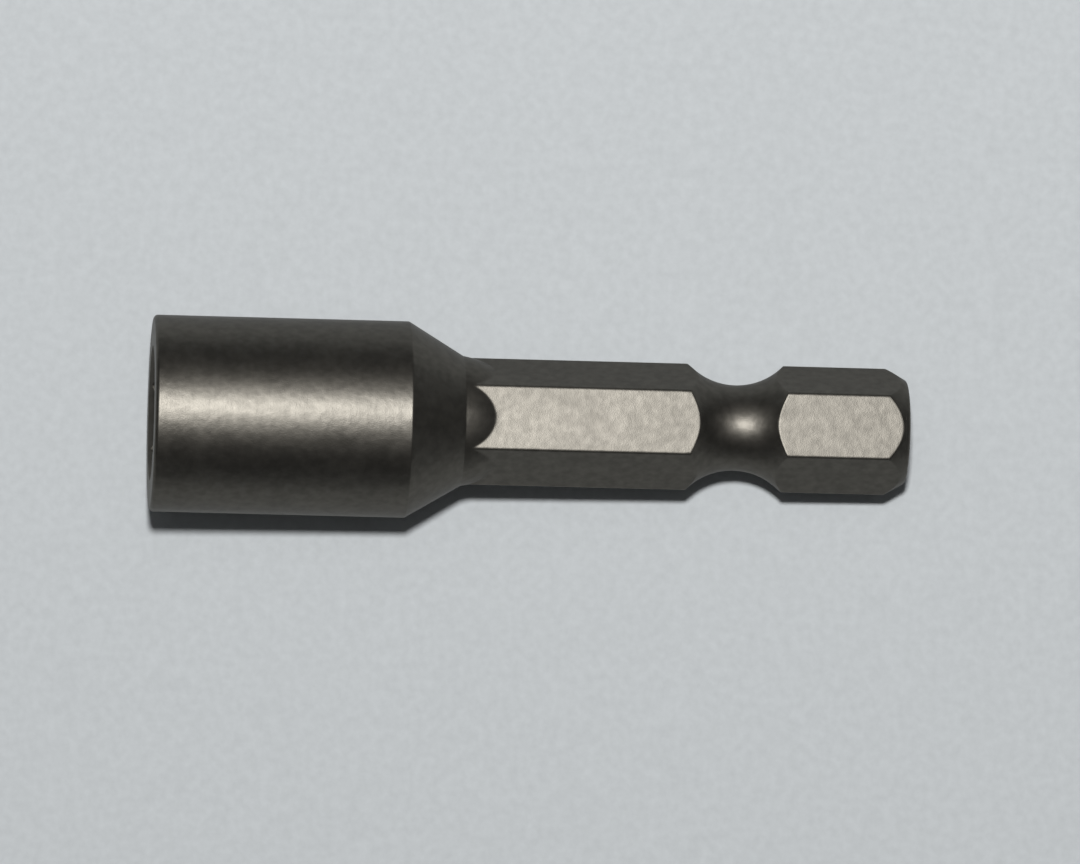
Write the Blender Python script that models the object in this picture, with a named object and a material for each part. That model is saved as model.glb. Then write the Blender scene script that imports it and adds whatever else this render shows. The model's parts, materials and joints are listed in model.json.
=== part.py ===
"""Nut setter: a hex-shank socket driver with a sprung magnet behind its socket.

Metres, +Z up. The drive axis is X: the socket mouth faces -X, the shank ends at the origin and
one shank flat faces +Z. Stations are distances along the axis from the socket mouth.
"""

import math

import bmesh
import bpy
from mathutils import Vector

MM = 0.001

# Whole tool
OVERALL_LENGTH = 43.3 * MM

# Hex socket
NUT_ACROSS_FLATS = 6.35 * MM
NUT_CLEARANCE = 0.15 * MM
SOCKET_DEPTH = 7.0 * MM
SOCKET_CORNER_RADIUS = 0.2 * MM
LEAD_IN_MARGIN = 0.15 * MM
LEAD_IN_ANGLE = math.radians(45)

# Turned head round the socket, its rear cone and the neck that runs out on the shank
HEAD_LENGTH = 14.6 * MM
HEAD_WALL = 1.9 * MM
HEAD_CONE_ANGLE = math.radians(31)
MOUTH_EDGE_RADIUS = 0.25 * MM
NECK_SHOULDER = 0.095 * MM
RUNOUT_ANGLE = math.radians(18)

# Hex drive shank with its detent groove and chamfered tail
SHANK_ACROSS_FLATS = 6.35 * MM
SHANK_CORNER_RADIUS = 0.2 * MM
GROOVE_FROM_END = 9.85 * MM
GROOVE_DEPTH = 0.725 * MM
GROOVE_RADIUS = 3.8 * MM
TAIL_CHAMFER_DEPTH = 0.375 * MM
TAIL_CHAMFER_ANGLE = math.radians(30)
TAIL_EDGE_RADIUS = 0.25 * MM

# Round bore behind the hex, and the wire ring in its groove
BORE_STEP = 0.1 * MM
RING_WIRE = 0.8 * MM
RING_GROOVE_DEPTH = 0.5 * MM
RING_LAND = 0.45 * MM
RING_OPENING_ANGLE = math.radians(44)

# Magnet and its sliding cup
NOSE_REACH = 0.9 * MM
CUP_WALL = 0.5 * MM
CUP_WEB = 1.0 * MM
SKIRT_WALL = 0.4 * MM
CUP_EDGE_CHAMFER = 0.2 * MM
MAGNET_LENGTH = 2.4 * MM
MAGNET_RECESS = 0.15 * MM
MAGNET_EDGE_RADIUS = 0.2 * MM
MAGNET_TRAVEL = 2.4 * MM

# Spring between the cup and the floor of the bore, as fitted
SPRING_LENGTH = 5.4 * MM
SPRING_WIRE = 0.4 * MM
SPRING_TURNS = 5
SPRING_END_TURN = 0.35

# Clearances between pieces
SLIDE_CLEARANCE = 0.1 * MM
SEAT_GAP = 0.05 * MM
RING_CLEARANCE = 0.15 * MM
SPRING_CLEARANCE = 0.15 * MM

# Fineness of round surfaces
TURN_STEPS = 72
BORE_STEPS = 48
CORNER_STEPS = 4
GROOVE_STEPS = 16
EDGE_STEPS = 6
COIL_POINTS = 10
RING_POINTS = 36
COIL_ROUNDNESS = 1
RING_ROUNDNESS = 3
SHARP_ANGLE = math.radians(18)

# How far a cutter or a joined shape runs past the surface it works on, and points that count as one
OVERRUN = 1.0 * MM
WELD = 0.0001 * MM


def corner_reach(apothem, corner_radius):
    """How far a round-cornered hexagon's corners lie from its centre."""
    return (apothem - corner_radius) / math.cos(math.pi / 6) + corner_radius


# Radii that follow from the sizes above
SOCKET_APOTHEM = (NUT_ACROSS_FLATS + NUT_CLEARANCE) / 2
SOCKET_REACH = corner_reach(SOCKET_APOTHEM, SOCKET_CORNER_RADIUS)
HEAD_RADIUS = SOCKET_REACH + HEAD_WALL
SHANK_APOTHEM = SHANK_ACROSS_FLATS / 2
SHANK_REACH = corner_reach(SHANK_APOTHEM, SHANK_CORNER_RADIUS)
NECK_RADIUS = SHANK_REACH + NECK_SHOULDER
BORE_RADIUS = SOCKET_APOTHEM - BORE_STEP
RING_GROOVE_RADIUS = BORE_RADIUS + RING_GROOVE_DEPTH
RING_RADIUS = RING_GROOVE_RADIUS - SEAT_GAP - RING_WIRE / 2
NOSE_RADIUS = RING_RADIUS - RING_WIRE / 2 - RING_CLEARANCE
SKIRT_RADIUS = BORE_RADIUS - SLIDE_CLEARANCE
MAGNET_POCKET_RADIUS = NOSE_RADIUS - CUP_WALL
MAGNET_RADIUS = MAGNET_POCKET_RADIUS - SEAT_GAP
SPRING_POCKET_RADIUS = SKIRT_RADIUS - SKIRT_WALL
SPRING_RADIUS = SPRING_POCKET_RADIUS - SPRING_CLEARANCE - SPRING_WIRE / 2

# Stations that follow from the sizes above
RING_STATION = SOCKET_DEPTH + RING_LAND + SEAT_GAP + RING_WIRE / 2
SHOULDER_STATION = RING_STATION + RING_WIRE / 2 + SEAT_GAP
NOSE_STATION = SOCKET_DEPTH - NOSE_REACH
MAGNET_STATION = NOSE_STATION + MAGNET_RECESS
WEB_STATION = MAGNET_STATION + MAGNET_LENGTH + SEAT_GAP
SPRING_SEAT_STATION = WEB_STATION + CUP_WEB
SPRING_STATION = SPRING_SEAT_STATION + SEAT_GAP
BORE_DEPTH = SPRING_STATION + SPRING_LENGTH + SEAT_GAP
SKIRT_END_STATION = BORE_DEPTH - SEAT_GAP - MAGNET_TRAVEL
GROOVE_STATION = OVERALL_LENGTH - GROOVE_FROM_END


def clear_scene():
    for obj in list(bpy.data.objects):
        bpy.data.objects.remove(obj, do_unlink=True)


def finish(name, colour, metallic, roughness):
    """A material with one Principled surface."""
    material = bpy.data.materials.new(name)
    material.use_nodes = True
    surface = material.node_tree.nodes["Principled BSDF"]
    surface.inputs["Base Color"].default_value = (*colour, 1)
    surface.inputs["Metallic"].default_value = metallic
    surface.inputs["Roughness"].default_value = roughness
    return material


def put(name, data, station, parent=None, material=None):
    """A named object on the drive axis, its own origin at the station."""
    obj = bpy.data.objects.new(name, data)
    bpy.context.collection.objects.link(obj)
    obj.parent = parent
    obj.location.x = station - OVERALL_LENGTH - (parent.location.x if parent else 0)
    if material:
        data.materials.append(material)
    return obj


def mesh_from(name, shape):
    """The shape's mesh, facing outwards."""
    bmesh.ops.recalc_face_normals(shape, faces=shape.faces)
    mesh = bpy.data.meshes.new(name)
    shape.to_mesh(mesh)
    shape.free()
    return mesh


def shade(mesh):
    """Smooth shading, with creases left sharp."""
    mesh.shade_smooth()
    mesh.set_sharp_from_angle(angle=SHARP_ANGLE)


def arc(centre, radius, start, end, steps):
    """Points round an arc in a plane, from one angle to another, both ends included."""
    angles = [start + (end - start) * i / steps for i in range(steps + 1)]
    return [(centre[0] + radius * math.cos(a), centre[1] + radius * math.sin(a)) for a in angles]


def turned(name, profile, steps):
    """A profile of (along, out) points, with both ends on the axis, turned once round it."""
    shape = bmesh.new()
    points = [shape.verts.new((along, 0, out)) for along, out in profile]
    edges = [shape.edges.new(pair) for pair in zip(points, points[1:])]
    bmesh.ops.spin(shape, geom=points + edges, cent=(0, 0, 0), axis=(1, 0, 0), dvec=(0, 0, 0),
                   angle=math.tau, steps=steps, use_merge=True)
    bmesh.ops.remove_doubles(shape, verts=shape.verts, dist=WELD)
    mesh = mesh_from(name, shape)
    shade(mesh)
    return mesh


def hexagon(apothem, corner_radius):
    """A hexagon's (y, z) outline with round corners and flats that face up and down."""
    centre_reach = corner_reach(apothem, corner_radius) - corner_radius
    half_corner = math.pi / 6
    outline = []
    for corner in range(6):
        towards = corner * math.pi / 3
        centre = (centre_reach * math.cos(towards), centre_reach * math.sin(towards))
        outline += arc(centre, corner_radius, towards - half_corner, towards + half_corner, CORNER_STEPS)
    return outline


def prism(name, outline, start, end):
    """The (y, z) outline extruded along the axis."""
    shape = bmesh.new()
    face = shape.faces.new([shape.verts.new((start, y, z)) for y, z in outline])
    grown = bmesh.ops.extrude_face_region(shape, geom=[face])
    moved = [item for item in grown["geom"] if isinstance(item, bmesh.types.BMVert)]
    bmesh.ops.translate(shape, vec=(end - start, 0, 0), verts=moved)
    return mesh_from(name, shape)


def combine(obj, operation, mesh):
    """A Boolean of the object with a helper shape at the same place."""
    helper = put(mesh.name, mesh, 0)
    helper.hide_render = True
    helper.display_type = "WIRE"
    modifier = obj.modifiers.new(mesh.name, "BOOLEAN")
    modifier.operation = operation
    modifier.object = helper
    return helper


def keep_result(obj, helpers):
    """The object's mesh becomes what its Booleans made, and the helper shapes go."""
    bpy.context.view_layer.update()
    graph = bpy.context.evaluated_depsgraph_get()
    obj.data = bpy.data.meshes.new_from_object(obj.evaluated_get(graph))
    obj.modifiers.clear()
    shade(obj.data)
    for helper in helpers:
        bpy.data.objects.remove(helper, do_unlink=True)


def wire(name, points, diameter, roundness):
    """A round wire along the points, with closed ends."""
    curve = bpy.data.curves.new(name, "CURVE")
    curve.dimensions = "3D"
    curve.bevel_depth = diameter / 2
    curve.bevel_resolution = roundness
    curve.use_fill_caps = True
    spline = curve.splines.new("POLY")
    spline.points.add(len(points) - 1)
    for place, point in zip(spline.points, points):
        place.co = (*point, 1)
    return curve


def head_profile():
    """The head from its mouth to where the neck's run-out has sunk below the shank's flats."""
    neck_start = HEAD_LENGTH + (HEAD_RADIUS - NECK_RADIUS) / math.tan(HEAD_CONE_ANGLE)
    sunk_radius = SHANK_APOTHEM - OVERRUN
    sunk_station = neck_start + (NECK_RADIUS - sunk_radius) / math.tan(RUNOUT_ANGLE)
    edge_centre = (MOUTH_EDGE_RADIUS, HEAD_RADIUS - MOUTH_EDGE_RADIUS)
    return [
        (0, 0),
        *arc(edge_centre, MOUTH_EDGE_RADIUS, math.pi, math.pi / 2, EDGE_STEPS),
        (HEAD_LENGTH, HEAD_RADIUS),
        (neck_start, NECK_RADIUS),
        (sunk_station, sunk_radius),
        (sunk_station, 0),
    ]


def turning_profile():
    """What the lathe leaves of the shank: the detent groove, and a chamfered tail with a soft edge."""
    start = HEAD_LENGTH - OVERRUN
    outside = SHANK_REACH + OVERRUN / 2
    groove_out = SHANK_APOTHEM - GROOVE_DEPTH + GROOVE_RADIUS
    groove_edge = math.acos((groove_out - outside) / GROOVE_RADIUS)
    inward = -math.pi / 2
    edge_centre = (OVERALL_LENGTH - TAIL_EDGE_RADIUS, SHANK_APOTHEM - TAIL_CHAMFER_DEPTH)
    edge = arc(edge_centre, TAIL_EDGE_RADIUS, math.pi / 2 - TAIL_CHAMFER_ANGLE, 0, EDGE_STEPS)
    chamfer_length = (outside - edge[0][1]) / math.tan(TAIL_CHAMFER_ANGLE)
    return [
        (start, 0),
        (start, outside),
        *arc((GROOVE_STATION, groove_out), GROOVE_RADIUS,
             inward - groove_edge, inward + groove_edge, GROOVE_STEPS),
        (edge[0][0] - chamfer_length, outside),
        *edge,
        (OVERALL_LENGTH, 0),
    ]


def lead_in_profile():
    """The cone that opens the hex at the mouth, wide enough to clear its corners."""
    mouth_radius = SOCKET_REACH + LEAD_IN_MARGIN
    slope = math.tan(LEAD_IN_ANGLE)
    return [
        (-OVERRUN, 0),
        (-OVERRUN, mouth_radius + OVERRUN * slope),
        (mouth_radius / slope, 0),
    ]


def bore_profile():
    """The round bore from inside the hex to its flat floor, with the retaining ring's groove."""
    start = SOCKET_DEPTH - OVERRUN
    groove_start = SOCKET_DEPTH + RING_LAND
    return [
        (start, 0),
        (start, BORE_RADIUS),
        (groove_start, BORE_RADIUS),
        (groove_start, RING_GROOVE_RADIUS),
        (SHOULDER_STATION, RING_GROOVE_RADIUS),
        (SHOULDER_STATION, BORE_RADIUS),
        (BORE_DEPTH, BORE_RADIUS),
        (BORE_DEPTH, 0),
    ]


def make_body(tool):
    """Socket head and hex shank in one piece of steel."""
    steel = finish("black oxide steel", (0.115, 0.105, 0.09), 1, 0.48)
    body = put("body", turned("body", head_profile(), TURN_STEPS), 0, tool, steel)
    shank_outline = hexagon(SHANK_APOTHEM, SHANK_CORNER_RADIUS)
    socket_outline = hexagon(SOCKET_APOTHEM, SOCKET_CORNER_RADIUS)
    shank = combine(body, "UNION", prism("shank", shank_outline, HEAD_LENGTH, OVERALL_LENGTH + OVERRUN))
    helpers = [
        shank,
        combine(shank, "INTERSECT", turned("shank_turning", turning_profile(), TURN_STEPS)),
        combine(body, "DIFFERENCE", prism("socket_punch", socket_outline, -OVERRUN, SOCKET_DEPTH)),
        combine(body, "DIFFERENCE", turned("lead_in", lead_in_profile(), BORE_STEPS)),
        combine(body, "DIFFERENCE", turned("bore", bore_profile(), BORE_STEPS)),
    ]
    keep_result(body, helpers)


def make_retaining_ring(tool):
    """Open wire ring, sprung into the groove of the bore."""
    sweep = math.tau - RING_OPENING_ANGLE
    path = arc((0, 0), RING_RADIUS, RING_OPENING_ANGLE / 2, RING_OPENING_ANGLE / 2 + sweep, RING_POINTS)
    ring = wire("retaining_ring", [(0, y, z) for y, z in path], RING_WIRE, RING_ROUNDNESS)
    put("retaining_ring", ring, RING_STATION, tool, finish("spring steel", (0.16, 0.15, 0.14), 1, 0.35))


def make_magnet_cup(carrier):
    """Turned steel cup: its nose holds the magnet, and its skirt guides it and holds the spring."""
    shoulder = SHOULDER_STATION - NOSE_STATION
    web = WEB_STATION - NOSE_STATION
    spring_seat = SPRING_SEAT_STATION - NOSE_STATION
    foot = SKIRT_END_STATION - NOSE_STATION
    profile = [
        (web, 0),
        (web, MAGNET_POCKET_RADIUS),
        (0, MAGNET_POCKET_RADIUS),
        (0, NOSE_RADIUS - CUP_EDGE_CHAMFER),
        (CUP_EDGE_CHAMFER, NOSE_RADIUS),
        (shoulder, NOSE_RADIUS),
        (shoulder, SKIRT_RADIUS),
        (foot - CUP_EDGE_CHAMFER, SKIRT_RADIUS),
        (foot, SKIRT_RADIUS - CUP_EDGE_CHAMFER),
        (foot, SPRING_POCKET_RADIUS),
        (spring_seat, SPRING_POCKET_RADIUS),
        (spring_seat, 0),
    ]
    cup = turned("magnet_cup", profile, BORE_STEPS)
    put("magnet_cup", cup, NOSE_STATION, carrier, finish("zinc plated steel", (0.42, 0.42, 0.41), 1, 0.3))


def make_magnet(carrier):
    """Plated disc magnet, a little below the cup's rim."""
    edge_out = MAGNET_RADIUS - MAGNET_EDGE_RADIUS
    front = (MAGNET_EDGE_RADIUS, edge_out)
    back = (MAGNET_LENGTH - MAGNET_EDGE_RADIUS, edge_out)
    profile = [
        (0, 0),
        *arc(front, MAGNET_EDGE_RADIUS, math.pi, math.pi / 2, EDGE_STEPS),
        *arc(back, MAGNET_EDGE_RADIUS, math.pi / 2, 0, EDGE_STEPS),
        (MAGNET_LENGTH, 0),
    ]
    magnet = turned("magnet", profile, BORE_STEPS)
    put("magnet", magnet, MAGNET_STATION, carrier, finish("nickel plate", (0.6, 0.57, 0.52), 1, 0.22))


def eased(turns):
    """Pitches climbed from one end of the coil, which starts flat on its seat."""
    if turns < SPRING_END_TURN:
        return turns * turns / (2 * SPRING_END_TURN)
    return turns - SPRING_END_TURN / 2


def coil_points():
    """Points along the spring's wire, from the cup's web to the floor of the bore."""
    half = SPRING_TURNS / 2
    pitch = (SPRING_LENGTH - SPRING_WIRE) / (2 * eased(half))
    count = round(SPRING_TURNS * COIL_POINTS)
    points = []
    for i in range(count + 1):
        turn = SPRING_TURNS * i / count
        climbed = eased(turn) if turn <= half else 2 * eased(half) - eased(SPRING_TURNS - turn)
        y = SPRING_RADIUS * math.cos(turn * math.tau)
        z = SPRING_RADIUS * math.sin(turn * math.tau)
        points.append(Vector((SPRING_WIRE / 2 + pitch * climbed, y, z)))
    return points


def make_magnet_spring(tool):
    """Compression spring that holds the cup against the ring."""
    points = coil_points()
    half_turn = COIL_POINTS // 2
    nearest = min((a - b).length for i, a in enumerate(points) for b in points[i + half_turn:])
    print(f"magnet_spring: least gap between turns {(nearest - SPRING_WIRE) / MM:.2f} mm")
    spring = wire("magnet_spring", points, SPRING_WIRE, COIL_ROUNDNESS)
    put("magnet_spring", spring, SPRING_STATION, tool, finish("spring wire", (0.3, 0.3, 0.31), 1, 0.3))


def main():
    clear_scene()
    tool = put("nut_setter", None, OVERALL_LENGTH)
    carrier = put("magnet_carrier", None, NOSE_STATION, tool)
    make_body(tool)
    make_retaining_ring(tool)
    make_magnet_spring(tool)
    make_magnet_cup(carrier)
    make_magnet(carrier)


main()
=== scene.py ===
"""Looks of the nut setter: its black steel body and the sprung magnet behind its socket."""

import json
import math
from collections import namedtuple

import bmesh
import bpy
from bpy.props import FloatProperty, FloatVectorProperty, PointerProperty
from mathutils import Euler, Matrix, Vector


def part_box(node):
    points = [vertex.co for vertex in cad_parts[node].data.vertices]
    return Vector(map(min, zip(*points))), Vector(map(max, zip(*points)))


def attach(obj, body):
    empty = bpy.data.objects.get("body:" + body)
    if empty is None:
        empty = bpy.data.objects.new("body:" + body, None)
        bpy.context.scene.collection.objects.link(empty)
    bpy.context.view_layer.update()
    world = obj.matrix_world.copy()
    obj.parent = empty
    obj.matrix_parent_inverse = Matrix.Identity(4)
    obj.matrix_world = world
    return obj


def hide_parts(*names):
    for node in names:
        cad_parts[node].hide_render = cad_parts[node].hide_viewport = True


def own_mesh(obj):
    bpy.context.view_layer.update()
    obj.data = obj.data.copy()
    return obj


bl_info = {
    "name": "Nut setter",
    "version": (1, 0, 0),
    "blender": (4, 5, 0),
    "location": "View3D > Sidebar > Nut setter",
    "description": "Models the finished pieces of a magnetic nut setter on its frame, and sets its stage",
    "category": "Object",
}

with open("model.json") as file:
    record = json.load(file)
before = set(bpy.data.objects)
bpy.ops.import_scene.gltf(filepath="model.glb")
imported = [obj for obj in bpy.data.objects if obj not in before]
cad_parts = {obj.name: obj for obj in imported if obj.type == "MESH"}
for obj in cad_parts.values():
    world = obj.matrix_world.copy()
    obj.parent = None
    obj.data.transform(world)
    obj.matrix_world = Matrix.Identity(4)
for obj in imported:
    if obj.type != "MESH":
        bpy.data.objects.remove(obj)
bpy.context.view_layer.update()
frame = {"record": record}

MM = 0.001

# What the frame fixes: the drive axis is X, and stations are places along it
MOUNTS = {mount["name"]: Vector(mount["pos_m"]) for mount in frame["record"]["mounts"]}
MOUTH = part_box("body")[0].x
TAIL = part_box("body")[1].x
HEAD_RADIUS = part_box("body")[1].z
SHANK_APOTHEM = MOUNTS["shank_flat_top"].z

# Fineness of round surfaces
BORE_STEPS = 96
EDGE_STEPS = 8
FILLET_STEPS = 4
CONE_STEPS = 16
GROOVE_STEPS = 80
RUNOUT_STEPS = 26
CHAMFER_STEPS = 20
WIRE_STEPS = 32
WIRE_ROUNDNESS = 6
RING_STEPS = 96
BEVEL_STEPS = 3
FLOOR_STEPS = 96
SWEEP_STEPS = 12

# A hexagonal bar or socket: from its axis to a flat and to a corner, and how softly its edges are worn
Hexagon = namedtuple("Hexagon", "apothem reach soft")

# Points of a hexagonal section from the middle of a flat to a corner: up to the line where another
# surface meets the flat, on from there, and round the corner
INNER_STEPS = 10
OUTER_STEPS = 10
CORNER_STEPS = 4
HALF_SIDE = INNER_STEPS + OUTER_STEPS + CORNER_STEPS
LEAST_SPLIT = math.radians(6)
SPLIT_MARGIN = math.radians(1)
SIXTH = math.pi / 3

# The power by which the points of a flat crowd towards that line
CROWDING = 1.5

# An extra ring this close to an edge keeps the broad face beside it flat to the eye
SUPPORT = 0.04 * MM

# The shank's plain rings stand this far off its run-out, groove and chamfer
CLEAR = 8 * SUPPORT

# Points that count as one
WELD = 0.0001 * MM

# Faces that meet at more than this are shaded as an edge
SKIN_CREASE = math.radians(30)
CUP_CREASE = math.radians(35)
WIRE_CREASE = math.radians(40)

# A wire has no edges as sharp as this but those of its cut ends
WIRE_END = math.radians(60)


def length(name, description, size):
    """A length that a user can change."""
    return FloatProperty(name=name, description=description, default=size, min=0, precision=5,
                         unit="LENGTH")


def turn(name, description, degrees):
    """An angle that a user can change."""
    return FloatProperty(name=name, description=description, default=math.radians(degrees), unit="ROTATION")


def strength(name, description, amount):
    """A light's strength that a user can change."""
    return FloatProperty(name=name, description=description, default=amount, min=0)


def linear(hex_colour):
    """A hex sRGB colour as linear red, green and blue."""
    shares = [int(hex_colour[i:i + 2], 16) / 255 for i in (0, 2, 4)]
    return tuple(s / 12.92 if s <= 0.04045 else ((s + 0.055) / 1.055) ** 2.4 for s in shares)


def colour(name, description, hex_colour):
    """A colour that a user can change."""
    return FloatVectorProperty(name=name, description=description, default=linear(hex_colour),
                               min=0, max=1, subtype="COLOR")


class BodySizes(bpy.types.PropertyGroup):
    """Sizes of the one-piece body: head, neck, shank and socket."""

    head_length: length("Head length", "Straight part of the head, from the mouth", 14.6 * MM)
    cone_angle: turn("Cone angle", "Slope of the cone behind the head", 31)
    mouth_edge: length("Mouth edge", "Radius round the mouth's outer edge", 0.25 * MM)
    neck_shoulder: length("Neck shoulder", "How far the neck stands out of the hex corners", 0.095 * MM)
    runout_angle: turn("Run-out angle", "Slope with which the neck runs out on the flats", 18)
    runout_swell: length("Run-out swell", "How far the run-out bulges between neck and flat", 0.07 * MM)
    corner_radius: length("Hex corner radius", "Radius of the shank's long corners", 0.2 * MM)
    groove_from_end: length("Groove from end", "Middle of the detent groove, from the tail", 9.85 * MM)
    groove_depth: length("Groove depth", "Depth of the detent groove below the flats", 0.725 * MM)
    groove_radius: length("Groove radius", "Radius of the detent groove along the shank", 3.8 * MM)
    tail_depth: length("Tail chamfer depth", "How far the tail face lies inside the flats", 0.375 * MM)
    tail_angle: turn("Tail chamfer angle", "Slope of the chamfer at the tail", 30)
    tail_edge: length("Tail edge", "Radius between chamfer and tail face", 0.25 * MM)
    socket_apothem: length("Socket apothem", "From the axis to a flat of the hex socket", 3.25 * MM)
    socket_depth: length("Socket depth", "Depth of the hex socket", 7.0 * MM)
    socket_corner: length("Socket corner radius", "Radius of the socket's corners", 0.2 * MM)
    lead_in: length("Lead-in", "How far the mouth's cone opens past the hex corners", 0.15 * MM)
    bore_radius: length("Bore radius", "Round bore behind the hex", 3.15 * MM)
    ring_groove_depth: length("Ring groove depth", "Groove of the retaining ring", 0.5 * MM)
    seat_gap: length("Seat gap", "Play between a piece and its seat", 0.05 * MM)
    turning_fillet: length("Turning fillet", "Radius that the turning tool leaves in corners", 0.2 * MM)
    edge_break: length("Edge break", "How far tumbling wore the sharp edges", 0.04 * MM)


class MagnetSizes(bpy.types.PropertyGroup):
    """Sizes of the magnet, its cup, its spring and the ring that keeps them in."""

    ring_wire: length("Ring wire", "Diameter of the retaining ring's wire", 0.8 * MM)
    ring_opening: turn("Ring opening", "Angle between the ring's two ends", 44)
    ring_end_edge: length("Ring end edge", "Rounding of the ring's cut ends", 0.06 * MM)
    cup_wall: length("Cup wall", "Wall of the cup round the magnet", 0.5 * MM)
    cup_web: length("Cup web", "Floor between magnet and spring", 1.0 * MM)
    skirt_wall: length("Skirt wall", "Wall of the cup round the spring", 0.4 * MM)
    cup_shoulder: length("Cup shoulder", "Length of the cup's nose, up to the ring", 2.25 * MM)
    nose_radius: length("Nose radius", "Outside of the cup's nose", 2.65 * MM)
    cup_chamfer: length("Cup chamfer", "Chamfer on the cup's rims", 0.2 * MM)
    cup_edge: length("Cup edge", "Rounding of the cup's turned edges", 0.05 * MM)
    magnet_edge: length("Magnet edge", "Radius round the magnet's edges", 0.2 * MM)
    spring_wire: length("Spring wire", "Diameter of the spring's wire", 0.4 * MM)
    spring_turns: FloatProperty(name="Spring turns", description="Turns of the spring", default=5, min=2)
    spring_end_turn: FloatProperty(name="Closed end", default=0.35, min=0.05, max=1,
                                   description="Part of a turn that lies flat at each end")
    spring_end_edge: length("Spring end edge", "Rounding of the spring's cut ends", 0.03 * MM)


class Finishes(bpy.types.PropertyGroup):
    """Colours of the metals, of the floor and of the room's light."""

    black_oxide: colour("Black oxide", "Oiled black oxide on steel", "615E58")
    ring_steel: colour("Ring steel", "Phosphated spring wire of the ring", "6E6B68")
    spring_steel: colour("Spring steel", "Bright drawn wire of the spring", "A9A8A8")
    zinc: colour("Zinc", "Clear zinc plate of the cup", "B4B5B6")
    nickel: colour("Nickel", "Nickel plate of the magnet", "CBC5BA")
    floor: colour("Floor", "Pale matt paper under the tool", "C3C7C9")
    room: colour("Room", "Dim light of the room round the stage", "F0F6FF")


class StageSettings(bpy.types.PropertyGroup):
    """Camera, lights and floor."""

    distance: length("Distance", "From the camera to the point it looks at", 584.3 * MM)
    lean: turn("Lean", "How far the camera stands towards the socket", 4.618)
    tilt: turn("Tilt", "How far the camera stands towards the near side", 4.569)
    roll: turn("Roll", "How far the camera is turned round its own axis", 1.477)
    aim_along: length("Aim along", "Point looked at, from the mouth", 22.284 * MM)
    aim_aside: FloatProperty(name="Aim aside", description="Point looked at, beside the axis",
                             default=-0.518 * MM, precision=5, unit="LENGTH")
    lens: FloatProperty(name="Lens", description="Focal length in millimetres", default=340.1, min=1)
    lamp_distance: length("Lamp distance", "From the lamp to the tool", 600 * MM)
    lamp_width: length("Lamp width", "Diameter of the lamp's face", 45 * MM)
    lamp_lean: turn("Lamp lean", "How far the lamp stands towards the socket", 4.8)
    lamp_tilt: turn("Lamp tilt", "How far the lamp stands towards the far side", 5.3)
    lamp_power: strength("Lamp power", "Power of the lamp in watts", 3.27)
    ceiling_distance: length("Ceiling distance", "From the soft ceiling light to the tool", 1500 * MM)
    ceiling_width: length("Ceiling width", "Diameter of the soft ceiling light", 1200 * MM)
    ceiling_power: strength("Ceiling power", "Power of the ceiling light in watts", 1.7)
    fill: strength("Fill", "Strength of the dim room round the stage", 0.02)
    floor_radius: length("Floor radius", "Flat part of the floor", 700 * MM)
    sweep_radius: length("Sweep radius", "Curve with which the floor rises all round", 500 * MM)


def arc(centre, radius, start, end, steps):
    """Points round an arc in a plane, from one angle to another, both ends included."""
    angles = [start + (end - start) * i / steps for i in range(steps + 1)]
    return [(centre[0] + radius * math.cos(a), centre[1] + radius * math.sin(a)) for a in angles]


def filleted(points, radius):
    """The line through the points, with an arc in each of its corners."""
    line = [points[0]]
    for before, corner, after in zip(points, points[1:], points[2:]):
        here = Vector(corner)
        back = (Vector(before) - here).normalized()
        onward = (Vector(after) - here).normalized()
        half = back.angle(onward) / 2
        centre = here + (back + onward).normalized() * (radius / math.sin(half))
        start = here + back * (radius / math.tan(half)) - centre
        end = here + onward * (radius / math.tan(half)) - centre
        for i in range(FILLET_STEPS + 1):
            line.append(tuple(centre + radius * start.slerp(end, i / FILLET_STEPS)))
    return line + [points[-1]]


def turned(name, profile, steps):
    """A round solid on the drive axis, drawn out ring by ring through its (station, radius) points."""
    bpy.ops.object.select_all(action="DESELECT")
    start, radius = profile[0]
    bpy.ops.mesh.primitive_circle_add(vertices=steps, radius=radius, fill_type="NGON",
                                      location=(start, 0, 0), rotation=(0, math.pi / 2, 0))
    bpy.ops.object.transform_apply()
    solid = bpy.context.object
    solid.name = name
    bpy.ops.object.mode_set(mode="EDIT")
    bpy.ops.mesh.select_all(action="SELECT")
    for (here, inner), (there, outer) in zip(profile, profile[1:]):
        bpy.ops.mesh.extrude_region_move(TRANSFORM_OT_translate={"value": (there - here, 0, 0)})
        grown = outer / inner
        bpy.ops.transform.resize(value=(1, grown, grown), center_override=(0, 0, 0))
    bpy.ops.mesh.select_all(action="SELECT")
    bpy.ops.mesh.normals_make_consistent(inside=False)
    bpy.ops.object.mode_set(mode="OBJECT")
    return solid


def smaller(a, b, soft):
    """The smaller of two radii, with the edge where they cross worn round."""
    near = max(soft - abs(a - b), 0) / soft
    return min(a, b) - near * near * soft / 4


def larger(a, b, soft):
    """The larger of two radii, with the corner where they cross filled a little."""
    return -smaller(-a, -b, soft)


def side_angles(split, edge):
    """Angles of a section's points from the middle of a flat to the hexagon's corner."""
    inner = [split * (1 - (1 - i / INNER_STEPS) ** CROWDING) for i in range(INNER_STEPS)]
    eased = [(1 - math.cos(math.pi * i / OUTER_STEPS)) / 2 for i in range(OUTER_STEPS)]
    outer = [split + (edge - split) * share for share in eased]
    rounded = [edge + (SIXTH / 2 - edge) * i / CORNER_STEPS for i in range(CORNER_STEPS + 1)]
    return inner + outer + rounded


def round_edge(hexagon):
    """The angle from the middle of a flat at which the hexagon's worn corner begins."""
    return math.acos(hexagon.apothem / (hexagon.reach - hexagon.soft))


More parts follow.
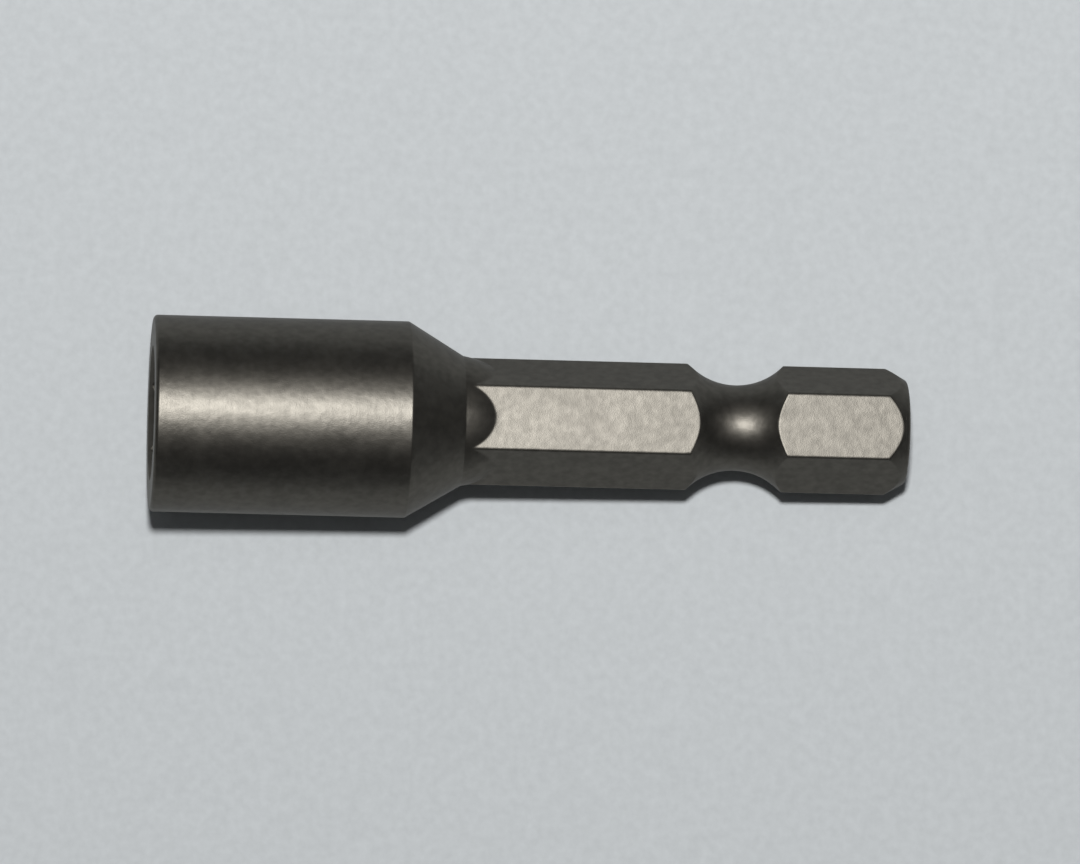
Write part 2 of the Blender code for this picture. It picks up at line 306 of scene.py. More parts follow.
def section(station, hexagon, trimmed=math.inf, proud=0):
    """A ring of points: a hexagon, one flat up, turned down to one radius and filled out to another."""
    edge = round_edge(hexagon)
    split = edge / 2
    if proud or trimmed < math.inf:
        split = math.acos(min(hexagon.apothem / (proud or trimmed), 1))
        split = min(max(split, LEAST_SPLIT), edge - SPLIT_MARGIN)
    half = side_angles(split, edge)
    points = []
    for side in range(6):
        for step in range(-HALF_SIDE, HALF_SIDE):
            aside = math.copysign(half[abs(step)], step)
            radius = smaller(hexagon.apothem / math.cos(aside), hexagon.reach, hexagon.soft)
            radius = larger(smaller(radius, trimmed, hexagon.soft), proud, hexagon.soft)
            angle = math.pi / 2 + side * SIXTH + aside
            points.append((station, radius * math.cos(angle), radius * math.sin(angle)))
    return points


def round_section(station, radius, hexagon, even=0):
    """A ring of points on a circle, at even angles or at those of the hexagon that it runs into."""
    edge = round_edge(hexagon)
    half = side_angles(edge - SPLIT_MARGIN, edge)
    half = [even * SIXTH / 2 * i / HALF_SIDE + (1 - even) * angle for i, angle in enumerate(half)]
    angles = [math.pi / 2 + side * SIXTH + math.copysign(half[abs(step)], step)
              for side in range(6) for step in range(-HALF_SIDE, HALF_SIDE)]
    return [(station, radius * math.cos(a), radius * math.sin(a)) for a in angles]


def lofted(name, rings):
    """A solid with its skin through rings of points: a round bar, cut into as many rings, each brought
    to its place."""
    count = len(rings[0])
    last = len(rings) - 1
    bpy.ops.object.select_all(action="DESELECT")
    bpy.ops.mesh.primitive_cylinder_add(vertices=count, radius=1, depth=last)
    solid = bpy.context.object
    solid.name = name
    bpy.ops.object.mode_set(mode="EDIT")
    bpy.ops.mesh.select_mode(type="EDGE")
    bpy.ops.mesh.select_all(action="DESELECT")
    mesh = bmesh.from_edit_mesh(solid.data)
    for edge in mesh.edges:
        edge.select_set(edge.verts[0].co.z != edge.verts[1].co.z)
    bpy.ops.mesh.subdivide_edgering(number_cuts=last - 1, interpolation="LINEAR")
    bpy.ops.object.mode_set(mode="OBJECT")
    for vertex in solid.data.vertices:
        ring = round(vertex.co.z + last / 2)
        place = round(math.atan2(vertex.co.y, vertex.co.x) / math.tau * count) % count
        vertex.co = rings[ring][place]
    return solid


def finish_mesh(piece, crease):
    """Faces outwards, and smooth shading with the creases left sharp."""
    bpy.ops.object.select_all(action="DESELECT")
    piece.select_set(True)
    bpy.context.view_layer.objects.active = piece
    bpy.ops.object.mode_set(mode="EDIT")
    bpy.ops.mesh.select_all(action="SELECT")
    bpy.ops.mesh.remove_doubles(threshold=WELD)
    bpy.ops.mesh.normals_make_consistent(inside=False)
    bpy.ops.object.mode_set(mode="OBJECT")
    bpy.ops.object.shade_smooth_by_angle(angle=crease)


def keep_flats(piece):
    """Shading in which a broad face keeps its own direction beside the narrow edges round it."""
    bpy.ops.object.modifier_add(type="WEIGHTED_NORMAL")
    weighing = piece.modifiers[-1]
    weighing.keep_sharp = True
    weighing.weight = 100
    # The usual threshold is far larger than the faces of pieces as small as these
    weighing.thresh = WELD * WELD
    bpy.ops.object.modifier_apply(modifier=weighing.name)


def wire(name, points, diameter):
    """A round wire along the points, with closed ends."""
    bpy.ops.object.select_all(action="DESELECT")
    bpy.ops.curve.primitive_nurbs_path_add(enter_editmode=False)
    piece = bpy.context.object
    piece.name = name
    line = piece.data
    line.splines.clear()
    line.bevel_depth = diameter / 2
    line.bevel_resolution = WIRE_ROUNDNESS
    line.use_fill_caps = True
    spline = line.splines.new("POLY")
    spline.points.add(len(points) - 1)
    for place, point in zip(spline.points, points):
        place.co = (*point, 1)
    bpy.ops.object.convert(target="MESH")
    return bpy.context.object


def round_cornered(apothem, corner_radius, soft):
    """A hexagon with round corners."""
    return Hexagon(apothem, (apothem - corner_radius) / math.cos(SIXTH / 2) + corner_radius, soft)


def socket_hexagon(sizes):
    """The hexagon of the socket."""
    return round_cornered(sizes.socket_apothem, sizes.socket_corner, sizes.edge_break)


def shank_hexagon(sizes):
    """The hexagon of the shank."""
    return round_cornered(SHANK_APOTHEM, sizes.corner_radius, sizes.edge_break)


def mouth_opening(sizes):
    """Radius of the lead-in at the mouth."""
    return socket_hexagon(sizes).reach + sizes.lead_in


def neck_place(sizes):
    """Station and radius of the line where the cone ends and the run-out begins."""
    radius = shank_hexagon(sizes).reach + sizes.neck_shoulder
    return MOUTH + sizes.head_length + (HEAD_RADIUS - radius) / math.tan(sizes.cone_angle), radius


def inside_rings(sizes):
    """The hollow, from the floor of the bore to the mouth: bore, ring groove, hex socket and lead-in."""
    hexagon = socket_hexagon(sizes)
    apothem = hexagon.apothem
    ring_low, ring_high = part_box("retaining_ring")
    socket_floor = MOUTH + sizes.socket_depth
    bore = [
        (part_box("magnet_spring")[1].x + sizes.seat_gap, sizes.bore_radius),
        (ring_high.x + sizes.seat_gap, sizes.bore_radius),
        (ring_high.x + sizes.seat_gap, sizes.bore_radius + sizes.ring_groove_depth),
        (ring_low.x - sizes.seat_gap, sizes.bore_radius + sizes.ring_groove_depth),
        (ring_low.x - sizes.seat_gap, sizes.bore_radius),
        (socket_floor, sizes.bore_radius),
    ]
    opened = mouth_opening(sizes)
    lead_in = [(MOUTH + opened - apothem + sizes.edge_break, apothem - sizes.edge_break), (MOUTH, opened)]
    rings = [round_section(*point, hexagon) for point in bore]
    rings.append(section(socket_floor, hexagon))
    for i in range(RUNOUT_STEPS + 1):
        station, radius = Vector(lead_in[0]).lerp(Vector(lead_in[1]), i / RUNOUT_STEPS)
        rings.append(section(station, hexagon, proud=radius))
    return rings


def turned_line(sizes):
    """The head's rear edge, its neck and the end of its run-out, with the fillets of the turning tool."""
    hexagon = shank_hexagon(sizes)
    neck_start, neck_radius = neck_place(sizes)
    sunk = hexagon.apothem - hexagon.soft
    runout_end = neck_start + (neck_radius - sunk) / math.tan(sizes.runout_angle)
    line = filleted([(MOUTH + sizes.mouth_edge, HEAD_RADIUS), (MOUTH + sizes.head_length, HEAD_RADIUS),
                     (neck_start, neck_radius), (runout_end, sunk)], sizes.turning_fillet)
    return line[1:FILLET_STEPS + 2], line[FILLET_STEPS + 2:-1], line[-1]


def head_rings(sizes):
    """The turned end: mouth face and edge, straight head, cone, neck and the run-out on the flats."""
    hexagon = shank_hexagon(sizes)
    edge = sizes.mouth_edge
    rear_edge, neck, runout_end = turned_line(sizes)
    front = [(MOUTH, HEAD_RADIUS - edge - SUPPORT)]
    mouth = arc((MOUTH + edge, HEAD_RADIUS - edge), edge, math.pi, math.pi / 2, EDGE_STEPS)
    straight = [(MOUTH + edge + SUPPORT, HEAD_RADIUS), (rear_edge[0][0] - SUPPORT, HEAD_RADIUS)]
    rings = [round_section(*point, hexagon, even=1) for point in front + mouth + straight + rear_edge]
    for i in range(1, CONE_STEPS):
        share = i / CONE_STEPS
        point = Vector(rear_edge[-1]).lerp(Vector(neck[0]), share)
        rings.append(round_section(*point, hexagon, even=1 - share))
    rings += [round_section(*point, hexagon) for point in neck]
    for i in range(1, RUNOUT_STEPS + 1):
        share = i / RUNOUT_STEPS
        station, radius = Vector(neck[-1]).lerp(Vector(runout_end), share)
        radius += 4 * share * (1 - share) * sizes.runout_swell
        rings.append(section(station, hexagon, proud=radius))
    return rings


def groove_line(sizes):
    """The detent groove, from outside the hex corners to its floor and out again."""
    hexagon = shank_hexagon(sizes)
    outside = hexagon.reach + hexagon.soft
    centre = hexagon.apothem - sizes.groove_depth + sizes.groove_radius
    half = math.acos((centre - outside) / sizes.groove_radius)
    return arc((TAIL - sizes.groove_from_end, centre), sizes.groove_radius,
               -math.pi / 2 - half, -math.pi / 2 + half, GROOVE_STEPS)


def tail_line(sizes):
    """The tail's chamfer, from outside the hex corners, and its edge and face."""
    hexagon = shank_hexagon(sizes)
    outside = hexagon.reach + hexagon.soft
    face_radius = hexagon.apothem - sizes.tail_depth
    edge = arc((TAIL - sizes.tail_edge, face_radius), sizes.tail_edge,
               math.pi / 2 - sizes.tail_angle, 0, EDGE_STEPS)
    end = Vector(edge[0])
    start = Vector((end.x - (outside - end.y) / math.tan(sizes.tail_angle), outside))
    chamfer = [start.lerp(end, i / CHAMFER_STEPS) for i in range(CHAMFER_STEPS)]
    return chamfer + edge + [(TAIL, face_radius - SUPPORT)]


def shank_rings(sizes):
    """The hex shank behind the run-out, with its detent groove and chamfered tail."""
    hexagon = shank_hexagon(sizes)
    runout_end = turned_line(sizes)[-1]
    groove = groove_line(sizes)
    tail = tail_line(sizes)
    rings = [section(runout_end[0] + CLEAR, hexagon), section(groove[0][0] - CLEAR, hexagon)]
    rings += [section(station, hexagon, trimmed=radius) for station, radius in groove]
    rings += [section(groove[-1][0] + CLEAR, hexagon), section(tail[0][0] - CLEAR, hexagon)]
    rings += [section(station, hexagon, trimmed=radius) for station, radius in tail]
    return rings


def node(tree, kind, inputs=None, **settings):
    """A new node with its settings, and with a value or another node's output in each named socket."""
    made = tree.nodes.new(kind)
    for name, value in settings.items():
        setattr(made, name, value)
    for name, value in (inputs or {}).items():
        if isinstance(value, bpy.types.NodeSocket):
            tree.links.new(value, made.inputs[name])
        else:
            made.inputs[name].default_value = value
    return made


def new_material(name, metallic=1):
    """A material with one Principled surface, and the piece's own coordinates in metres."""
    material = bpy.data.materials.new(name)
    material.use_nodes = True
    tree = material.node_tree
    surface = tree.nodes["Principled BSDF"]
    surface.inputs["Metallic"].default_value = metallic
    place = node(tree, "ShaderNodeTexCoord").outputs["Object"]
    return material, tree, surface, place


# Noise is nearly always between these two levels
NOISE_SPAN = {"From Min": 0.3, "From Max": 0.7}

# Roughness of the black oxide on turned, drawn and broached steel
TURNED_ROUGHNESS = 0.425
DRAWN_ROUGHNESS = 0.445
BROACHED_ROUGHNESS = 0.62

# Marks of making on the body. Real pits are finer than the render shows, so they are drawn coarser
PEBBLE = 0.5 * MM
PIT = 0.05 * MM
OXIDE_PATCH = 2.5 * MM
LATHE_RING = 0.2 * MM
LATHE_RING_RUN = 2.5 * MM
TURNING_FADE = 0.3 * MM

# Clouds on plate and wire are this many grains across
CLOUD_GRAINS = 4


def lathe_marks(tree, place, radius):
    """Faint rings that the lathe leaves, which come and go round the axis."""
    stretch = (1 / LATHE_RING, 1 / LATHE_RING_RUN, 1 / LATHE_RING_RUN)
    rings = node(tree, "ShaderNodeVectorMath", {0: place, 1: stretch}, operation="MULTIPLY")
    outwards = node(tree, "ShaderNodeMath", {0: radius, 1: 1 / LATHE_RING}, operation="MULTIPLY")
    marks = node(tree, "ShaderNodeTexNoise", {"Vector": rings.outputs[0], "W": outwards.outputs[0],
                                              "Scale": 1, "Detail": 2}, noise_dimensions="4D")
    return marks.outputs[0]


def turned_share(tree, along, sizes):
    """1 on the turned head with its cone and on the tail's end, 0 on the drawn hex."""
    neck = neck_place(sizes)[0]
    head = node(tree, "ShaderNodeMapRange", {"Value": along, "From Min": neck,
                                             "From Max": neck + TURNING_FADE, "To Min": 1, "To Max": 0})
    tail = node(tree, "ShaderNodeMath", {0: along, 1: TAIL - sizes.tail_edge}, operation="GREATER_THAN")
    both = node(tree, "ShaderNodeMath", {0: head.outputs[0], 1: tail.outputs[0]}, operation="MAXIMUM")
    return both.outputs[0]


def broached_share(tree, along, radius, sizes):
    """1 inside the socket, 0 outside."""
    hollow = node(tree, "ShaderNodeMath", {0: radius, 1: mouth_opening(sizes)}, operation="LESS_THAN")
    in_head = node(tree, "ShaderNodeMath", {0: along, 1: MOUTH + sizes.head_length}, operation="LESS_THAN")
    both = node(tree, "ShaderNodeMath", {0: hollow.outputs[0], 1: in_head.outputs[0]}, operation="MULTIPLY")
    return both.outputs[0]


def tumbled_skin(tree, place, pebbles, marks, turned_part):
    """The body's bumps: pebbles and fine pits from tumbling, and grooves where the lathe turned it."""
    pits = node(tree, "ShaderNodeTexNoise", {"Vector": place, "Scale": 1 / PIT, "Detail": 1})
    grooves = node(tree, "ShaderNodeMath", {0: marks, 1: turned_part}, operation="MULTIPLY")
    below = {}
    for height, depth in ((pebbles, 0.010 * MM), (pits.outputs[0], 0.006 * MM),
                          (grooves.outputs[0], 0.004 * MM)):
        bump = node(tree, "ShaderNodeBump", {"Strength": 1, "Distance": depth, "Height": height, **below})
        below = {"Normal": bump.outputs[0]}
    return bump.outputs[0]


def oxide_roughness(tree, patches, turned_part, broached_part):
    """The drawn hex is duller than the turned head, and the socket is dull: nothing tumbles inside it."""
    outer = node(tree, "ShaderNodeMix", {0: turned_part, 2: DRAWN_ROUGHNESS, 3: TURNED_ROUGHNESS})
    whole = node(tree, "ShaderNodeMix", {0: broached_part, 2: outer.outputs[0], 3: BROACHED_ROUGHNESS})
    # The oxide is a little thinner and shinier in patches
    satin = node(tree, "ShaderNodeMapRange", {"Value": patches, **NOISE_SPAN,
                                              "To Min": -0.02, "To Max": 0.02})
    uneven = node(tree, "ShaderNodeMath", {0: whole.outputs[0], 1: satin.outputs[0]}, operation="ADD")
    return uneven.outputs[0]


def oxide_tint(tree, along, patches, pebbles, marks):
    """How light the oxide is: in patches, over pebbles, and on the end faces along the lathe's rings."""
    shade = node(tree, "ShaderNodeMapRange", {"Value": patches, **NOISE_SPAN,
                                              "To Min": 0.95, "To Max": 1.05})
    mottle = node(tree, "ShaderNodeMapRange", {"Value": pebbles, **NOISE_SPAN,
                                               "To Min": 0.88, "To Max": 1.12})
    lines = node(tree, "ShaderNodeMapRange", {"Value": marks, **NOISE_SPAN,
                                              "To Min": 0.82, "To Max": 1.18})
    middle = (MOUTH + TAIL) / 2
    between_ends = node(tree, "ShaderNodeMath", {0: along, 1: middle, 2: TAIL - middle - SUPPORT},
                        operation="COMPARE")
    faced = node(tree, "ShaderNodeMix", {0: between_ends.outputs[0], 2: lines.outputs[0], 3: 1})
    tint = node(tree, "ShaderNodeMath", {0: shade.outputs[0], 1: mottle.outputs[0]}, operation="MULTIPLY")
    tint = node(tree, "ShaderNodeMath", {0: tint.outputs[0], 1: faced.outputs[0]}, operation="MULTIPLY")
    return tint.outputs[0]


def black_oxide_steel(finishes, sizes):
    """Tumbled and oiled black oxide: a gun-metal satin, pale under the lamp and almost black beside it."""
    material, tree, surface, place = new_material("black oxide steel, tumbled and oiled")
    along = node(tree, "ShaderNodeSeparateXYZ", {0: place}).outputs["X"]
    aside = node(tree, "ShaderNodeVectorMath", {0: place, 1: (0, 1, 1)}, operation="MULTIPLY").outputs[0]
    radius = node(tree, "ShaderNodeVectorMath", {0: aside}, operation="LENGTH").outputs["Value"]
    marks = lathe_marks(tree, place, radius)
    turned_part = turned_share(tree, along, sizes)
    broached_part = broached_share(tree, along, radius, sizes)

    # Tumbling leaves pebbles, seen as a soft mottle, and oiling leaves broad patches
    pebbles, patches = [
        node(tree, "ShaderNodeTexNoise", {"Vector": place, "Scale": 1 / size, "Detail": detail}).outputs[0]
        for size, detail in ((PEBBLE, 1), (OXIDE_PATCH, 3))]
    skin = tumbled_skin(tree, place, pebbles, marks, turned_part)
    tree.links.new(skin, surface.inputs["Normal"])
    roughness = oxide_roughness(tree, patches, turned_part, broached_part)
    tree.links.new(roughness, surface.inputs["Roughness"])
    tint = oxide_tint(tree, along, patches, pebbles, marks)
    oxide = node(tree, "ShaderNodeMix", {0: 1, 6: (*finishes.black_oxide, 1), 7: tint},
                 data_type="RGBA", blend_type="MULTIPLY")
    tree.links.new(oxide.outputs[2], surface.inputs["Base Color"])

    # Light that only grazes the oxide is swallowed, so the flanks stay dark beside the pale floor
    surface.inputs["Specular Tint"].default_value = (0.7, 0.7, 0.7, 1)
    return material


def plain_metal(name, metal_colour, roughness, grain, depth):
    """A metal with one grain of a given size and depth, and with clouds in its colour and gloss."""
    material, tree, surface, place = new_material(name)
    # The grain of plate and wire is finer than the render shows, so it is given coarser
    noise = node(tree, "ShaderNodeTexNoise", {"Vector": place, "Scale": 1 / grain, "Detail": 2})
    skin = node(tree, "ShaderNodeBump", {"Strength": 1, "Distance": depth, "Height": noise.outputs[0]})
    tree.links.new(skin.outputs["Normal"], surface.inputs["Normal"])
    clouds = node(tree, "ShaderNodeTexNoise", {"Vector": place, "Scale": 1 / (CLOUD_GRAINS * grain),
                                               "Detail": 3})
    gloss = node(tree, "ShaderNodeMapRange", {"Value": clouds.outputs[0], **NOISE_SPAN,
                                              "To Min": roughness - 0.05, "To Max": roughness + 0.05})
    tree.links.new(gloss.outputs[0], surface.inputs["Roughness"])
    shade = node(tree, "ShaderNodeMapRange", {"Value": clouds.outputs[0], **NOISE_SPAN,
                                              "To Min": 0.9, "To Max": 1.1})
    metal = node(tree, "ShaderNodeMix", {0: 1, 6: (*metal_colour, 1), 7: shade.outputs[0]},
                 data_type="RGBA", blend_type="MULTIPLY")
    tree.links.new(metal.outputs[2], surface.inputs["Base Color"])
    return material


def phosphated_wire(finishes):
    """Phosphated spring wire: a dark grey with little shine, from its skin of fine crystals."""
    return plain_metal("phosphated spring steel wire", finishes.ring_steel,
                       roughness=0.42, grain=0.12 * MM, depth=0.002 * MM)


def zinc_plate(finishes):
    """Clear zinc plate on turned steel: a bright, cool silver with a slight haze."""
    return plain_metal("zinc plated steel", finishes.zinc,
                       roughness=0.3, grain=0.15 * MM, depth=0.001 * MM)


def nickel_plate(finishes):
    """Nickel plate on a pressed magnet: a warm silver with soft reflections."""
    return plain_metal("nickel plate", finishes.nickel,
                       roughness=0.22, grain=0.4 * MM, depth=0.001 * MM)


def drawn_wire(finishes):
    """Bright drawn wire: a clean grey gloss."""
    return plain_metal("bright drawn spring wire", finishes.spring_steel,
                       roughness=0.3, grain=0.1 * MM, depth=0.001 * MM)


# Fibres of the paper, drawn coarser than real ones so that they show, and the stretch over which painted
# shade darkens the paper, standing in for the lamp's light falling off
FIBRE = 0.5 * MM
PAINTED_FALLOFF_SPAN = 26 * MM


def pale_paper(finishes):
    """Matt pale grey paper with a painted light falloff across it. It is seen from above only, so that it
    hides nothing from below.
    """
    material, tree, surface, place = new_material("pale matt paper", metallic=0)
    surface.inputs["Roughness"].default_value = 0.9
    # Painted shade: the sheet's colour is painted a little darker towards the near side, standing in for
    # the lamp's light falling off there; its fibres lie unevenly
    across = node(tree, "ShaderNodeSeparateXYZ", {0: place}).outputs["Y"]
    # Painted light falloff: the colour runs from 0.95 on the near side to 1.04 on the far side
    light = node(tree, "ShaderNodeMapRange", {"Value": across, "From Min": -PAINTED_FALLOFF_SPAN,
                                              "From Max": PAINTED_FALLOFF_SPAN, "To Min": 0.95, "To Max": 1.04})
    fibres = node(tree, "ShaderNodeTexNoise", {"Vector": place, "Scale": 1 / FIBRE, "Detail": 3})
    uneven = node(tree, "ShaderNodeMapRange", {"Value": fibres.outputs[0], "To Min": 0.9, "To Max": 1.1})
    level = node(tree, "ShaderNodeMath", {0: light.outputs[0], 1: uneven.outputs[0]}, operation="MULTIPLY")
    paper = node(tree, "ShaderNodeMix", {0: 1, 6: (*finishes.floor, 1), 7: level.outputs[0]},
                 data_type="RGBA", blend_type="MULTIPLY")
    tree.links.new(paper.outputs[2], surface.inputs["Base Color"])
    side = node(tree, "ShaderNodeNewGeometry").outputs["Backfacing"]
    clear = node(tree, "ShaderNodeBsdfTransparent").outputs[0]
    mixed = node(tree, "ShaderNodeMixShader", {0: side, 1: surface.outputs[0], 2: clear})
    tree.links.new(mixed.outputs[0], tree.nodes["Material Output"].inputs["Surface"])
    return material


def bevelled(piece, width, least_angle):
    """Edges of the piece rounded over a small width."""
    bpy.ops.object.modifier_add(type="BEVEL")
    rounding = piece.modifiers[-1]
    rounding.width = width
    rounding.segments = BEVEL_STEPS
    rounding.limit_method = "ANGLE"
    rounding.angle_limit = least_angle
    bpy.ops.object.modifier_apply(modifier=rounding.name)


def hand_over(piece, body, cad_node, material):
    """The finished piece rides its body, stands for its CAD node and takes its finish."""
    piece.data.materials.clear()
    piece.data.materials.append(material)
    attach(piece, body)
    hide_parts(cad_node)


class NUTSETTER_OT_body(bpy.types.Operator):
    """Model the body: turned head, hex shank with its groove, and the hex socket with its bore"""

    bl_idname = "nut_setter.body"
    bl_label = "Body"

    def execute(self, context):
        sizes = context.scene.nut_setter_body
        body = lofted("body_finished", inside_rings(sizes) + head_rings(sizes) + shank_rings(sizes))
        finish_mesh(body, SKIN_CREASE)
        steel = black_oxide_steel(context.scene.nut_setter_finish, sizes)
        hand_over(body, "tool", "body", steel)
        return {"FINISHED"}


class NUTSETTER_OT_retaining_ring(bpy.types.Operator):
    """Model the open wire ring that keeps the magnet cup in"""

    bl_idname = "nut_setter.retaining_ring"
    bl_label = "Retaining ring"

    def execute(self, context):
        bore = context.scene.nut_setter_body
        sizes = context.scene.nut_setter_magnet
        low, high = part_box("retaining_ring")
        station = (low.x + high.x) / 2
        radius = bore.bore_radius + bore.ring_groove_depth - bore.seat_gap - sizes.ring_wire / 2
        half_open = sizes.ring_opening / 2
        path = arc((0, 0), radius, half_open, math.tau - half_open, RING_STEPS)
        ring = wire("retaining_ring_finished", [(station, y, z) for y, z in path], sizes.ring_wire)
        bevelled(ring, sizes.ring_end_edge, WIRE_END)
        finish_mesh(ring, WIRE_CREASE)
        steel = phosphated_wire(context.scene.nut_setter_finish)
        hand_over(ring, "tool", "retaining_ring", steel)
        return {"FINISHED"}


class NUTSETTER_OT_magnet_cup(bpy.types.Operator):
    """Model the turned cup that carries the magnet and slides in the bore"""

    bl_idname = "nut_setter.magnet_cup"
    bl_label = "Magnet cup"

    def execute(self, context):
        bore = context.scene.nut_setter_body
        sizes = context.scene.nut_setter_magnet
        low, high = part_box("magnet_cup")
        shoulder = low.x + sizes.cup_shoulder
        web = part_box("magnet")[1].x + bore.seat_gap
        seat = web + sizes.cup_web
        pocket = sizes.nose_radius - sizes.cup_wall
        skirt = high.z
        chamfer = sizes.cup_chamfer
        cup = turned("magnet_cup_finished", [
            (web, pocket),
            (low.x, pocket),
            (low.x, sizes.nose_radius - chamfer),
            (low.x + chamfer, sizes.nose_radius),
            (shoulder, sizes.nose_radius),
            (shoulder, skirt),
            (high.x - chamfer, skirt),
            (high.x, skirt - chamfer),
            (high.x, skirt - sizes.skirt_wall),
            (seat, skirt - sizes.skirt_wall),
        ], BORE_STEPS)
        bevelled(cup, sizes.cup_edge, CUP_CREASE)
        finish_mesh(cup, CUP_CREASE)
        keep_flats(cup)
        zinc = zinc_plate(context.scene.nut_setter_finish)
        hand_over(cup, "magnet_carrier", "magnet_cup", zinc)
        return {"FINISHED"}


class NUTSETTER_OT_magnet(bpy.types.Operator):
    """Model the plated disc magnet"""

    bl_idname = "nut_setter.magnet"
    bl_label = "Magnet"

    def execute(self, context):
        low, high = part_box("magnet")
        edge = context.scene.nut_setter_magnet.magnet_edge
        out = high.z - edge
        front = arc((low.x + edge, out), edge, math.pi, math.pi / 2, EDGE_STEPS)
        back = arc((high.x - edge, out), edge, math.pi / 2, 0, EDGE_STEPS)
        magnet = turned("magnet_finished", front + back, BORE_STEPS)
        finish_mesh(magnet, SKIN_CREASE)
        keep_flats(magnet)
        nickel = nickel_plate(context.scene.nut_setter_finish)
        hand_over(magnet, "magnet_carrier", "magnet", nickel)
        return {"FINISHED"}


def coil(low, high, sizes):
    """The spring's middle line: a helix with ends that lie flat on their seats and rise slowly into it."""
    radius = high.y - sizes.spring_wire / 2
    start = low.x + sizes.spring_wire / 2
    turns = sizes.spring_turns
    flat = sizes.spring_end_turn
    whole = turns - flat
    pitch = (high.x - low.x - sizes.spring_wire) / whole
    points = []
    for i in range(round(turns * WIRE_STEPS) + 1):
        done = i / WIRE_STEPS
        nearest = min(done, turns - done)
        climbed = nearest - flat / 2 if nearest > flat else nearest * nearest / (2 * flat)
        along = pitch * (climbed if done <= turns / 2 else whole - climbed)
        angle = done * math.tau
        points.append((start + along, radius * math.cos(angle), radius * math.sin(angle)))
    return points


class NUTSETTER_OT_magnet_spring(bpy.types.Operator):
    """Model the compression spring behind the magnet cup"""

    bl_idname = "nut_setter.magnet_spring"
    bl_label = "Magnet spring"

    def execute(self, context):
        sizes = context.scene.nut_setter_magnet
        low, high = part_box("magnet_spring")
        spring = wire("magnet_spring_finished", coil(low, high, sizes), sizes.spring_wire)
        bevelled(spring, sizes.spring_end_edge, WIRE_END)
        finish_mesh(spring, WIRE_CREASE)
        drawn = drawn_wire(context.scene.nut_setter_finish)
        hand_over(spring, "tool", "magnet_spring", drawn)
        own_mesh(spring)
        return {"FINISHED"}


def set_camera(context, settings, aim):
    """The camera, above the tool and leaning a little towards its socket and its near side."""
    turned_to = Euler((settings.tilt, -settings.lean, settings.roll), "ZYX")
    bpy.ops.object.camera_add()
    camera = context.object
    camera.rotation_mode = "ZYX"
    camera.rotation_euler = turned_to
    camera.location = aim + turned_to.to_matrix() @ Vector((0, 0, settings.distance))
    camera.data.lens = settings.lens
    context.scene.camera = camera


def set_lights(context, settings, aim):
    """A small lamp for crisp highlights, and a wide ceiling light behind it that softens the shadows."""
    lit_from = Euler((-settings.lamp_tilt, -settings.lamp_lean, 0), "ZYX")
    for away, width, power in (
            (settings.lamp_distance, settings.lamp_width, settings.lamp_power),
            (settings.ceiling_distance, settings.ceiling_width, settings.ceiling_power)):
        bpy.ops.object.light_add(type="AREA")
        lamp = context.object
        lamp.rotation_mode = "ZYX"
        lamp.rotation_euler = lit_from
        lamp.location = aim + lit_from.to_matrix() @ Vector((0, 0, away))
        lamp.data.shape = "DISK"
        lamp.data.size = width
        lamp.data.energy = power


def lay_floor(context, settings):
    """A round floor that sweeps up all round."""
    # The head is thicker than the shank, so the tool lies on its head's rear edge and on its tail
    head_end = MOUTH + context.scene.nut_setter_body.head_length
    rise = math.atan((HEAD_RADIUS - SHANK_APOTHEM) / (TAIL - head_end))
    bpy.ops.object.select_all(action="DESELECT")
    bpy.ops.mesh.primitive_circle_add(vertices=FLOOR_STEPS, radius=settings.floor_radius, fill_type="NGON")
    floor = context.object
    floor.name = "floor"
    bpy.ops.object.mode_set(mode="EDIT")
    bpy.ops.mesh.select_all(action="SELECT")
    rim = arc((settings.floor_radius, settings.sweep_radius), settings.sweep_radius,
              -math.pi / 2, 0, SWEEP_STEPS)
    for (here, low), (there, high) in zip(rim, rim[1:]):
        bpy.ops.mesh.extrude_region_move(TRANSFORM_OT_translate={"value": (0, 0, high - low)})
        bpy.ops.transform.resize(value=(there / here, there / here, 1), center_override=(0, 0, 0))
    bpy.ops.mesh.delete(type="ONLY_FACE")
    bpy.ops.mesh.select_all(action="SELECT")
    bpy.ops.mesh.normals_make_consistent(inside=True)
    bpy.ops.object.mode_set(mode="OBJECT")
    floor.rotation_euler.y = -rise
    floor.location = (head_end, 0, -HEAD_RADIUS)
    bpy.ops.object.transform_apply()
    bpy.ops.object.shade_smooth()
    floor.data.materials.append(pale_paper(context.scene.nut_setter_finish))


def set_room(context, settings):
    """A dim, even room round the stage."""
    world = context.scene.world or bpy.data.worlds.new("room")
    context.scene.world = world
    world.use_nodes = True
    room = world.node_tree.nodes["Background"]
    room.inputs["Color"].default_value = (*context.scene.nut_setter_finish.room, 1)
    room.inputs["Strength"].default_value = settings.fill


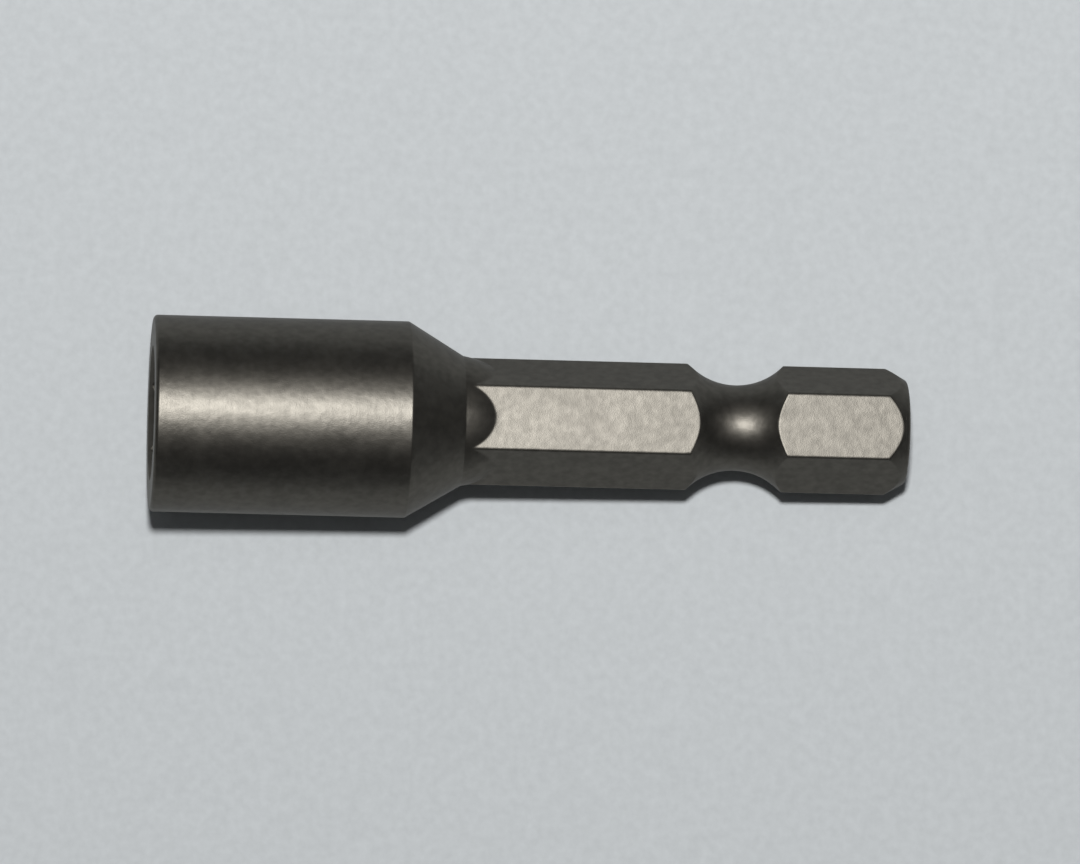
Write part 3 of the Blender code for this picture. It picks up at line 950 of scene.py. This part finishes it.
class NUTSETTER_OT_stage(bpy.types.Operator):
    """Set the camera, the lights, the floor and the room"""

    bl_idname = "nut_setter.stage"
    bl_label = "Stage"

    def execute(self, context):
        settings = context.scene.nut_setter_stage
        aim = Vector((MOUTH + settings.aim_along, settings.aim_aside, 0))
        set_camera(context, settings, aim)
        set_lights(context, settings, aim)
        lay_floor(context, settings)
        set_room(context, settings)
        context.scene.view_settings.view_transform = "Standard"
        return {"FINISHED"}


OPERATORS = (NUTSETTER_OT_body, NUTSETTER_OT_retaining_ring, NUTSETTER_OT_magnet_cup, NUTSETTER_OT_magnet,
             NUTSETTER_OT_magnet_spring, NUTSETTER_OT_stage)
GROUPS = {"nut_setter_body": BodySizes, "nut_setter_magnet": MagnetSizes,
          "nut_setter_finish": Finishes, "nut_setter_stage": StageSettings}


class NUTSETTER_PT_pieces(bpy.types.Panel):
    """Lists the pieces and the stage, with their sizes and finishes"""

    bl_idname = "NUTSETTER_PT_pieces"
    bl_label = "Nut setter"
    bl_space_type = "VIEW_3D"
    bl_region_type = "UI"
    bl_category = "Nut setter"

    def draw(self, context):
        for operator in OPERATORS:
            self.layout.operator(operator.bl_idname)
        for name, group in GROUPS.items():
            box = self.layout.box()
            for setting in group.__annotations__:
                box.prop(getattr(context.scene, name), setting)


CLASSES = (*GROUPS.values(), *OPERATORS, NUTSETTER_PT_pieces)


def register():
    """Make the classes and their settings known to Blender."""
    for made in CLASSES:
        bpy.utils.register_class(made)
    for name, group in GROUPS.items():
        setattr(bpy.types.Scene, name, PointerProperty(type=group))


def unregister():
    """Take them out again."""
    for name in GROUPS:
        delattr(bpy.types.Scene, name)
    for made in reversed(CLASSES):
        bpy.utils.unregister_class(made)


def main():
    """Model every piece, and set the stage."""
    register()
    bpy.ops.nut_setter.body()
    bpy.ops.nut_setter.retaining_ring()
    bpy.ops.nut_setter.magnet_cup()
    bpy.ops.nut_setter.magnet()
    bpy.ops.nut_setter.magnet_spring()
    bpy.ops.nut_setter.stage()


if __name__ == "__main__":
    main()
